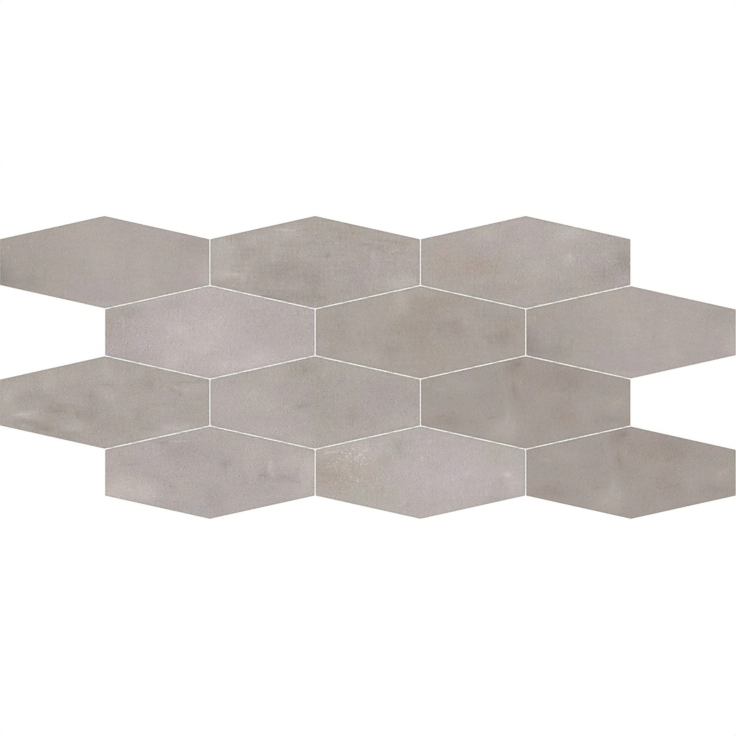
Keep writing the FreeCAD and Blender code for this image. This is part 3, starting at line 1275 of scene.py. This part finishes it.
def add_glue():
    """The dabs of glue that hold each tile to the mesh, as one piece."""
    node = "backing_mesh"
    low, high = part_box(node)
    foot = low.z + WARP_SECTION[1] / 2
    seed_step, other_axis = GLUE_DRIFT_SEED
    shape = bmesh.new()
    seed = 0
    for tile_node in TILE_PRINTS:
        tile_low, tile_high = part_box(tile_node)
        centre = (tile_low + tile_high) / 2
        for column in GLUE_COLUMNS:
            for row in GLUE_ROWS:
                seed += 1
                drift = noise.noise_vector(Vector((seed * seed_step, other_axis, 0))).xy
                at = centre.xy + Vector((column, row)) * POCKET_PITCH + drift * GLUE_DRIFT
                add_dab(shape, at, foot, high.z, seed * GLUE_OUTLINE_SEED)
    mesh = new_mesh("glue_dabs", shape)
    smooth(mesh)
    mesh.materials.append(glue_material())
    add_piece("glue_dabs", mesh, node)


def white_to_camera(graph, shading, share, lit=0, white=WHITE):
    """A shader that the camera, and clear or glossy surfaces, see as white, with a share of
    its own shading, which in the open is lit this much, and that lights the object as it is."""
    path = graph.node("LightPath", {})
    seen = graph.maths("MAXIMUM", path.outputs["Is Camera Ray"], path.outputs["Is Glossy Ray"])
    seen = graph.maths("MAXIMUM", seen, path.outputs["Is Transmission Ray"])
    glow = (1 - share * lit) / (1 - share)
    glowing = graph.node("Emission", {"Color": white, "Strength": glow}).outputs[0]
    amount = graph.maths("MULTIPLY", seen, 1 - share)
    return graph.node("MixShader", {0: amount, 1: shading, 2: glowing}).outputs[0]


def add_floor():
    bpy.ops.mesh.primitive_plane_add(size=FLOOR_SIZE, location=(0, 0, cad_box[0].z))
    floor = bpy.context.object
    floor.name = "floor"
    material, graph = new_material("white_floor")
    seen = graph.node("LightPath", {}).outputs["Is Camera Ray"]
    grey = (FLOOR_REFLECTANCE, FLOOR_REFLECTANCE, FLOOR_REFLECTANCE, 1)
    colour = graph.mix(seen, grey, WHITE)
    diffuse = graph.node("BsdfDiffuse", {"Color": colour}).outputs[0]
    # Painted warm bounce light and shade where the tiles' sides shut the floor in, found by
    # occlusion
    reach = {"Distance": JOINT_REACH}
    looked = graph.node("AmbientOcclusion", reach, samples=JOINT_SAMPLES)
    openness = graph.step(looked.outputs["AO"], *JOINT_OPENNESS)
    ground = graph.mix(openness, JOINT_PAINTED_BOUNCE, WHITE)
    lit = SKY_SHARE + SOFTBOX_SHARE
    shader = white_to_camera(graph, diffuse, FLOOR_SHADOW_SHARE, lit, ground)
    graph.node("OutputMaterial", {"Surface": shader})
    floor.data.materials.append(material)


def add_light():
    world = bpy.data.worlds.new("studio")
    bpy.context.scene.world = world
    graph = Graph(world)
    grey = (SKY_SHARE, SKY_SHARE, SKY_SHARE, 1)
    sky = graph.node("Background", {"Color": grey, "Strength": 1.0}).outputs[0]
    shader = white_to_camera(graph, sky, 0.0)
    graph.node("OutputWorld", {"Surface": shader})

    lamp = bpy.data.lights.new("overhead_softbox", "SUN")
    lamp.energy = SOFTBOX_SHARE * math.pi
    lamp.angle = SOFTBOX_ANGLE
    add_object("overhead_softbox", lamp)


def add_camera():
    """Straight above the sheet, with the photo's scale on the tiles' face."""
    rows = [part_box(f"tile_row1_col{col}") for col in (1, 2)]
    tile_pitch = rows[1][0].x - rows[0][0].x
    pixel = tile_pitch / TILE_PITCH_PIXELS
    distance = pixel * PHOTO_PIXELS * CAMERA_LENS / CAMERA_SENSOR
    low, high = cad_box
    centre = (low + high) / 2
    data = bpy.data.cameras.new("camera")
    data.lens = CAMERA_LENS
    data.sensor_width = CAMERA_SENSOR
    camera = add_object("camera", data)
    x = centre.x + CENTRE_LEFT_OF_MIDDLE * pixel
    y = centre.y - CENTRE_ABOVE_MIDDLE * pixel
    camera.location = (x, y, high.z + distance)
    bpy.context.scene.camera = camera


add_camera()
add_light()
add_floor()
add_tiles()
add_mesh()
add_glue()
bpy.context.scene.view_settings.view_transform = "Standard"
